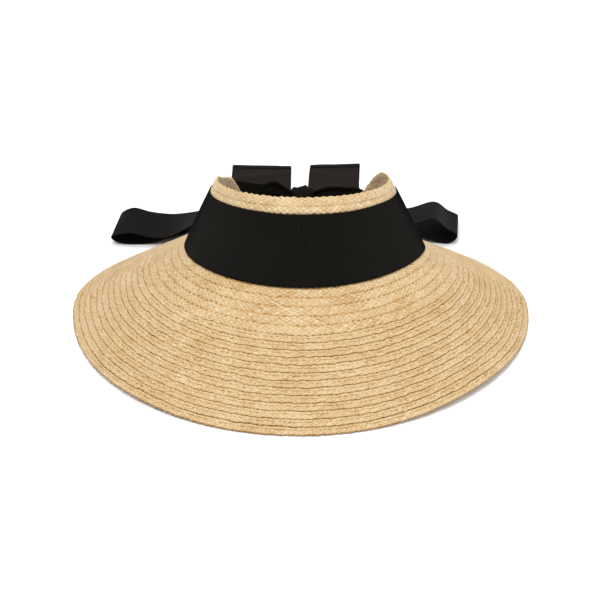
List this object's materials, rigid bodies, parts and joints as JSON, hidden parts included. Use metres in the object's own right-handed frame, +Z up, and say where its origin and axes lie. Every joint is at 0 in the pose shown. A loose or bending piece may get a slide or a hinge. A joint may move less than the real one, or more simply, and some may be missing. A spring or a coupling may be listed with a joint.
{
  "type": "sun visor",
  "caption": "Wide-brimmed, open-backed straw sun visor of sewn raffia braid, with a wide black grosgrain ribbon tied in a bow with long tails at the back",
  "frame": {"origin": "on the ground under the middle of the head opening", "axes": "+Z up through the head opening; +Y to the back of the head, where the bow is; +X to the right as seen from in front"},
  "size_m": [0.4056, 0.4989, 0.1419],
  "materials": {
    "raffia": "woven straw, matte with a soft silky sheen",
    "ribbon": "ribbed grosgrain, matte"
  },
  "bodies": {
    "straw_shell": {"brim_row_01": "raffia", "brim_row_02": "raffia", "brim_row_03": "raffia", "brim_row_04": "raffia", "brim_row_05": "raffia", "brim_row_06": "raffia", "brim_row_07": "raffia", "brim_row_08": "raffia", "brim_row_09": "raffia", "brim_row_10": "raffia", "brim_row_11": "raffia", "brim_row_12": "raffia", "brim_row_13": "raffia", "brim_row_14": "raffia", "brim_row_15": "raffia", "brim_row_16": "raffia", "brim_row_17": "raffia", "brim_row_18": "raffia", "band_row_01": "raffia", "band_row_02": "raffia", "band_row_03": "raffia", "band_row_04": "raffia", "band_row_05": "raffia", "band_row_06": "raffia", "band_row_07": "raffia", "band_row_08": "raffia", "rim_row_lower": "raffia", "rim_row_upper": "raffia", "left_edge_braid": "raffia", "right_edge_braid": "raffia", "ribbon_band": "ribbon", "bow_knot": "ribbon"},
    "left_loop": {"left_loop": "ribbon"},
    "right_loop": {"right_loop": "ribbon"},
    "left_tail": {"left_tail": "ribbon"},
    "right_tail": {"right_tail": "ribbon"},
    "left_tail_end": {"left_tail_end": "ribbon", "left_tail_hem": "ribbon"},
    "right_tail_end": {"right_tail_end": "ribbon", "right_tail_hem": "ribbon"}
  },
  "joints": [
    {"name": "left_loop_lift", "type": "hinge", "parent": "straw_shell", "child": "left_loop", "pos_m": [-0.018, 0.117, 0.049], "axis": [0, 1, 0], "range_deg": [0, 60]},
    {"name": "right_loop_lift", "type": "hinge", "parent": "straw_shell", "child": "right_loop", "pos_m": [0.018, 0.117, 0.049], "axis": [0, -1, 0], "range_deg": [0, 60]},
    {"name": "left_tail_lift", "type": "hinge", "parent": "straw_shell", "child": "left_tail", "pos_m": [-0.0145, 0.1215, 0.04], "axis": [1, 0, 0], "range_deg": [0, 60]},
    {"name": "right_tail_lift", "type": "hinge", "parent": "straw_shell", "child": "right_tail", "pos_m": [0.0145, 0.1215, 0.04], "axis": [1, 0, 0], "range_deg": [0, 60]},
    {"name": "left_tail_curl", "type": "hinge", "parent": "left_tail", "child": "left_tail_end", "pos_m": [-0.04175, 0.212, 0.0006], "axis": [1, 0, 0], "range_deg": [0, 80]},
    {"name": "right_tail_curl", "type": "hinge", "parent": "right_tail", "child": "right_tail_end", "pos_m": [0.03325, 0.212, 0.0006], "axis": [1, 0, 0], "range_deg": [0, 80]}
  ]
}
